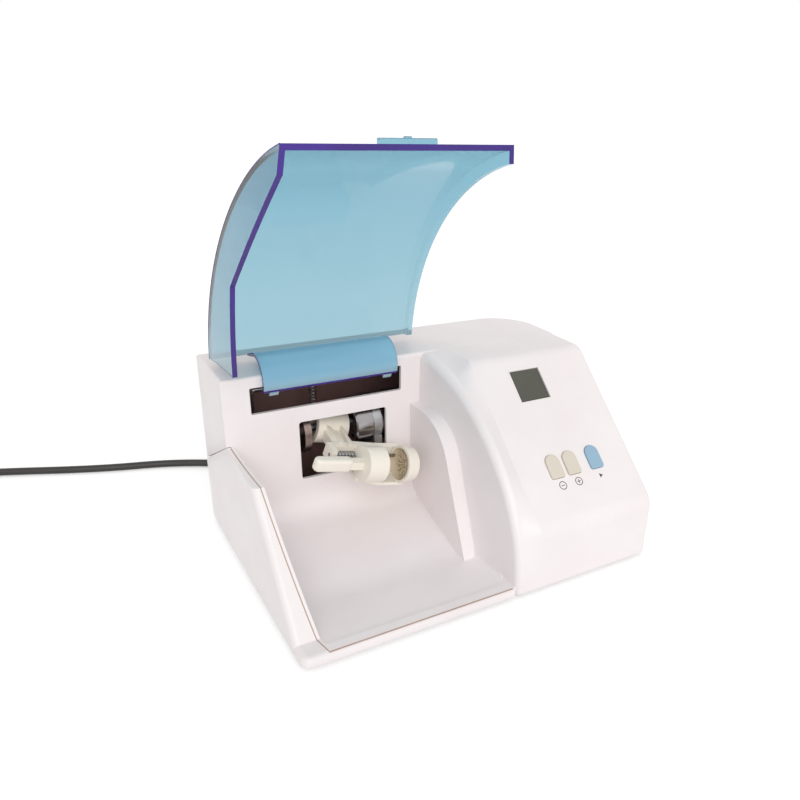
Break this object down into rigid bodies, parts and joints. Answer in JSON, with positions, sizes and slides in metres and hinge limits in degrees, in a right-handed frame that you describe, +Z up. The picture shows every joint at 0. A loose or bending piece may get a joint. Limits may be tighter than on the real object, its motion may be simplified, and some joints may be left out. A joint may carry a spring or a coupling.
{
  "type": "dental amalgamator",
  "caption": "Table-top capsule mixer: white casing with an open well, clear blue lid on a hinge, swinging capsule clamp, motor drive, sloping key panel and mains cord.",
  "frame": {"origin": "centre of the casing's footprint, on the table", "axes": "+X to the right, +Y to the back, +Z up"},
  "size_m": [0.5372, 0.4048, 0.2796],
  "materials": {
    "casing": "satin moulded, warm white",
    "lid": "clear blue-violet moulded plastic",
    "cream": "satin moulded, cream",
    "rubber": "matt black",
    "steel": "brushed",
    "chrome": "polished",
    "aluminium": "machined",
    "magnet": "dark ferrite",
    "copper": "enamelled copper wire",
    "board": "green laminate",
    "black": "matt black",
    "beige_key": "matt beige",
    "blue_key": "matt blue",
    "display": "dark grey-green, glossy",
    "cord": "satin dark grey"
  },
  "bodies": {
    "housing": {"base_shell": "casing", "bearing_block": "aluminium", "board_screws": "steel", "capacitors": "black", "chassis_screws": "steel", "control_board": "board", "cord_gland": "cord", "dampers": "rubber", "drive_chassis": "steel", "end_bearing": "chrome", "fuse_cap": "black", "fuse_holder": "black", "heat_sink": "aluminium", "hinge_brackets": "steel", "hinge_pin": "chrome", "holder_spring": "steel", "housing_screws": "steel", "key_switches": "black", "lcd_module": "display", "lcd_window": "display", "motor_can": "chrome", "motor_caps": "aluminium", "motor_magnets": "magnet", "motor_saddles": "aluminium", "motor_straps": "steel", "power_cord": "cord", "power_cord_coil": "cord", "power_plug": "cord", "power_switch": "black", "rubber_feet": "rubber", "spring_post": "chrome", "supply_board": "board", "supply_screws": "steel", "terminal_block": "black", "transformer_coil": "copper", "transformer_core": "magnet", "upper_housing": "casing"},
    "lid": {"lid": "lid"},
    "drive_rotor": {"drive_shaft": "steel", "motor_rotor": "copper", "balance_disc": "steel", "hub_ball": "steel", "cooling_fan": "black"},
    "holder": {"holder_arm": "cream", "guide_rod": "chrome"},
    "jaw": {"clamp_jaw": "cream", "jaw_spring": "steel"},
    "dose_down": {"dose_down_button": "beige_key"},
    "dose_up": {"dose_up_button": "beige_key"},
    "start": {"start_button": "blue_key"},
    "rocker": {"power_rocker": "black"}
  },
  "joints": [
    {"name": "lid_hinge", "type": "hinge", "parent": "housing", "child": "lid", "pos_m": [0, 0.0425, 0.1284], "axis": [1, 0, 0], "range_deg": [0, 94.5]},
    {"name": "shaft_spin", "type": "hinge", "parent": "housing", "child": "drive_rotor", "pos_m": [-0.054, 0.0525, 0.081], "axis": [1, 0, 0], "continuous": true},
    {"name": "holder_swing", "type": "hinge", "parent": "housing", "child": "holder", "pos_m": [-0.054, 0.0525, 0.081], "axis": [1, 0, 0], "range_deg": [-5, 5], "stiffness_Nm_per_rad": 2, "deforming": ["holder_spring"]},
    {"name": "jaw_slide", "type": "slide", "parent": "holder", "child": "jaw", "axis": [-0.9653, -0.0743, 0.2504], "range_m": [0, 0.007], "stiffness_N_per_m": 400, "deforming": ["jaw_spring"]},
    {"name": "dose_down_press", "type": "slide", "parent": "housing", "child": "dose_down", "axis": [0, 0.674, -0.7387], "range_m": [0, 0.0006], "stiffness_N_per_m": 900},
    {"name": "dose_up_press", "type": "slide", "parent": "housing", "child": "dose_up", "axis": [0, 0.674, -0.7387], "range_m": [0, 0.0006], "stiffness_N_per_m": 900},
    {"name": "start_press", "type": "slide", "parent": "housing", "child": "start", "axis": [0, 0.674, -0.7387], "range_m": [0, 0.0006], "stiffness_N_per_m": 900},
    {"name": "rocker_tip", "type": "hinge", "parent": "housing", "child": "rocker", "pos_m": [0.048, 0.0942, 0.02887], "axis": [1, 0, 0], "range_deg": [0, 14]}
  ]
}
